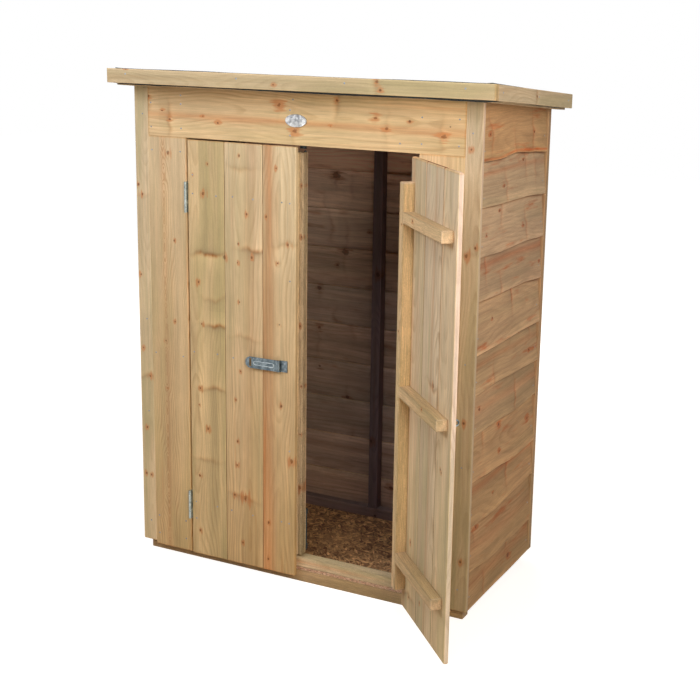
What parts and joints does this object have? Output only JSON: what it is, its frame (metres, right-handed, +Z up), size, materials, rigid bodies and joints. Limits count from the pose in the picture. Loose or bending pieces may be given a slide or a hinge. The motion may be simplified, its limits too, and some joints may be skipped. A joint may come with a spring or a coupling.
{
  "type": "pent storage shed",
  "caption": "Small pent-roofed timber storage shed with a pair of ledged front doors, overlap board walls, a strand board floor and a felted roof that falls to the back.",
  "frame": {"origin": "on the ground, under the middle of the body, on the underside of the middle bearer", "axes": "+Z up, +X to the right seen from the front, the doors face -Y"},
  "size_m": [1.0871, 0.7503, 1.3327],
  "materials": {
    "front_boards": "sawn, pressure treated",
    "trim_boards": "sawn, pressure treated",
    "weatherboards": "sawn, wavy edges",
    "framing_timber": "sawn",
    "strand_board": "pressed strands",
    "roof_felt": "mineral felt",
    "zinc_plate": "bright zinc plated",
    "badge_metal": "pressed, bright"
  },
  "bodies": {
    "shed": {"floor_bearers": "framing_timber", "floor_board": "strand_board", "sill_rail": "framing_timber", "header_rail": "framing_timber", "front_top_rail": "framing_timber", "front_corner_posts": "framing_timber", "back_corner_posts": "framing_timber", "door_posts": "framing_timber", "back_wall_rails": "framing_timber", "back_wall_stud": "framing_timber", "left_wall_rails": "framing_timber", "right_wall_rails": "framing_timber", "left_wall_cladding": "weatherboards", "right_wall_cladding": "weatherboards", "back_wall_cladding": "weatherboards", "left_front_board": "front_boards", "right_front_board": "front_boards", "header_board": "front_boards", "left_corner_strip": "trim_boards", "right_corner_strip": "trim_boards", "back_corner_strips": "trim_boards", "badge_plate": "badge_metal", "roof_battens": "framing_timber", "roof_deck": "strand_board", "roof_felt": "roof_felt", "front_fascia": "trim_boards", "left_fascia": "trim_boards", "right_fascia": "trim_boards", "left_fixed_hinges": "zinc_plate", "right_fixed_hinges": "zinc_plate", "bolt_keeper": "zinc_plate"},
    "left_door": {"left_door_boards": "front_boards", "left_hinge_stile": "framing_timber", "meeting_stile": "framing_timber", "left_door_ledges": "framing_timber", "left_door_hinges": "zinc_plate", "hasp_leaf": "zinc_plate", "bolt_barrels": "zinc_plate"},
    "hasp_strap": {"hasp_strap": "zinc_plate"},
    "top_bolt": {"top_bolt": "zinc_plate"},
    "bottom_bolt": {"bottom_bolt": "zinc_plate"},
    "right_door": {"right_door_boards": "front_boards", "right_hinge_stile": "framing_timber", "right_door_ledges": "framing_timber", "right_door_hinges": "zinc_plate", "hasp_staple": "zinc_plate"}
  },
  "joints": [
    {"name": "left_door_hinge", "type": "hinge", "parent": "shed", "child": "left_door", "pos_m": [-0.33, -0.2395, 0.592], "axis": [0, 0, -1], "range_deg": [0, 170]},
    {"name": "right_door_hinge", "type": "hinge", "parent": "shed", "child": "right_door", "pos_m": [0.33, -0.2395, 0.592], "axis": [0, 0, 1], "range_deg": [-133, 37]},
    {"name": "hasp_hinge", "type": "hinge", "parent": "left_door", "child": "hasp_strap", "pos_m": [-0.048, -0.2415, 0.592], "axis": [0, 0, -1], "range_deg": [-180, 0]},
    {"name": "top_bolt_slide", "type": "slide", "parent": "left_door", "child": "top_bolt", "axis": [0, 0, -1], "range_m": [-0.04, 0]},
    {"name": "bottom_bolt_slide", "type": "slide", "parent": "left_door", "child": "bottom_bolt", "axis": [0, 0, 1], "range_m": [-0.04, 0]}
  ]
}
